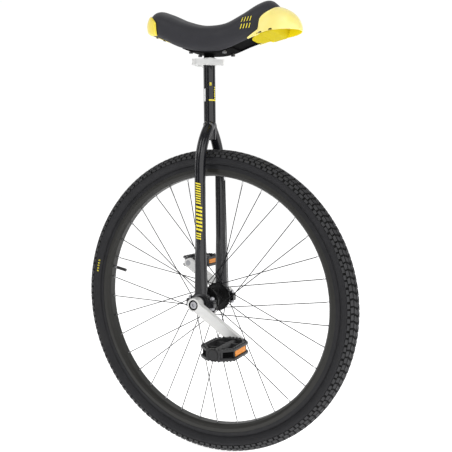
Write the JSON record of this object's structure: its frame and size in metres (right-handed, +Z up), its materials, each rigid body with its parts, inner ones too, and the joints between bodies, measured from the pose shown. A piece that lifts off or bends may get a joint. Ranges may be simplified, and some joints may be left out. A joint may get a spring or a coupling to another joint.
{
  "type": "unicycle",
  "caption": "Adult unicycle with a large spoked wheel, tubular fork with clamped bearing housings, direct cranks and cage pedals, and a curved saddle with yellow end bumpers.",
  "frame": {"origin": "the point on the ground under the axle, where the tyre touches it", "axes": "+X forward, along the saddle towards its front bumper; +Y to the rider's left, along the axle; +Z up, along the neck and seat post"},
  "size_m": [0.7159, 0.4028, 1.0598],
  "materials": {
    "gloss_black_paint": "gloss",
    "polished_alloy": "satin",
    "bright_steel": "bright",
    "grey_steel": "plain",
    "dark_spoke_steel": "satin",
    "dark_rim": "satin",
    "black_hub": "satin",
    "tyre_rubber": "matte",
    "tube_rubber": "matte",
    "tape": "plain",
    "black_plastic": "matte",
    "pedal_plastic": "satin",
    "saddle_base_plastic": "matte",
    "foam": "soft",
    "vinyl": "smooth",
    "yellow_plastic": "gloss",
    "amber_plastic": "clear amber"
  },
  "bodies": {
    "frame": {"neck_tube": "gloss_black_paint", "right_fork_leg": "gloss_black_paint", "left_fork_leg": "gloss_black_paint", "weld_beads": "gloss_black_paint", "right_bearing_housing": "gloss_black_paint", "left_bearing_housing": "gloss_black_paint", "right_bearing_cap": "gloss_black_paint", "left_bearing_cap": "gloss_black_paint", "housing_bolts": "bright_steel", "housing_nuts": "bright_steel", "right_bearing_outer_ring": "grey_steel", "left_bearing_outer_ring": "grey_steel", "bearing_seals": "grey_steel", "seat_collar": "polished_alloy", "collar_skewer": "bright_steel", "lever_pin": "grey_steel", "cam_washer": "black_plastic"},
    "wheel": {"tyre": "tyre_rubber", "inner_tube": "tube_rubber", "rim_tape": "tape", "rim": "dark_rim", "right_spokes": "dark_spoke_steel", "left_spokes": "dark_spoke_steel", "spoke_nipples": "bright_steel", "valve_stem": "grey_steel", "valve_cap": "black_plastic", "hub_shell": "black_hub", "axle": "grey_steel", "bearing_spacers": "grey_steel", "right_bearing_inner_ring": "grey_steel", "left_bearing_inner_ring": "grey_steel", "right_crank": "polished_alloy", "left_crank": "polished_alloy", "crank_bolts": "bright_steel", "right_pedal_spindle": "grey_steel", "left_pedal_spindle": "grey_steel", "pedal_lock_nuts": "grey_steel"},
    "right_ball_cage": {"right_bearing_balls": "bright_steel"},
    "left_ball_cage": {"left_bearing_balls": "bright_steel"},
    "right_pedal": {"right_pedal_body": "pedal_plastic", "right_pedal_balls": "bright_steel", "right_pedal_reflectors": "amber_plastic", "right_pedal_cap": "black_plastic"},
    "left_pedal": {"left_pedal_body": "pedal_plastic", "left_pedal_balls": "bright_steel", "left_pedal_reflectors": "amber_plastic", "left_pedal_cap": "black_plastic"},
    "lever": {"clamp_lever": "polished_alloy"},
    "lever_nut": {"clamp_nut": "polished_alloy"},
    "post": {"seat_post": "gloss_black_paint"},
    "saddle": {"saddle_bracket": "gloss_black_paint", "saddle_base": "saddle_base_plastic", "saddle_studs": "bright_steel", "saddle_nuts": "bright_steel", "saddle_foam": "foam", "saddle_cover": "vinyl", "front_bumper": "yellow_plastic", "rear_bumper": "yellow_plastic", "bumper_screws": "grey_steel"}
  },
  "joints": [
    {"name": "wheel_spin", "type": "hinge", "parent": "frame", "child": "wheel", "pos_m": [0, 0, 0.358], "axis": [0, 1, 0], "continuous": true},
    {"name": "right_balls_roll", "type": "hinge", "parent": "frame", "child": "right_ball_cage", "pos_m": [0, 0, 0.358], "axis": [0, 1, 0], "continuous": true},
    {"name": "left_balls_roll", "type": "hinge", "parent": "frame", "child": "left_ball_cage", "pos_m": [0, 0, 0.358], "axis": [0, 1, 0], "continuous": true},
    {"name": "right_pedal_spin", "type": "hinge", "parent": "wheel", "child": "right_pedal", "pos_m": [0.11133, 0, 0.28708], "axis": [0, 1, 0], "continuous": true},
    {"name": "left_pedal_spin", "type": "hinge", "parent": "wheel", "child": "left_pedal", "pos_m": [-0.11133, 0, 0.42892], "axis": [0, 1, 0], "continuous": true},
    {"name": "clamp_lever_swing", "type": "hinge", "parent": "frame", "child": "lever", "pos_m": [-0.027, -0.0213, 0.924], "axis": [-0.1045, 0, -0.9945], "range_deg": [0, 120]},
    {"name": "clamp_nut_turn", "type": "hinge", "parent": "frame", "child": "lever_nut", "pos_m": [-0.027, 0, 0.924], "axis": [0, 1, 0], "continuous": true},
    {"name": "seat_height", "type": "slide", "parent": "frame", "child": "post", "axis": [0, 0, 1], "range_m": [0, 0.09]},
    {"name": "saddle_swivel", "type": "hinge", "parent": "post", "child": "saddle", "pos_m": [0, 0, 0.9336], "axis": [0, 0, 1], "continuous": true}
  ],
  "couplings": [
    {"joint": "right_balls_roll", "follows": "wheel_spin", "ratio": 0.3807},
    {"joint": "left_balls_roll", "follows": "wheel_spin", "ratio": 0.3807}
  ]
}
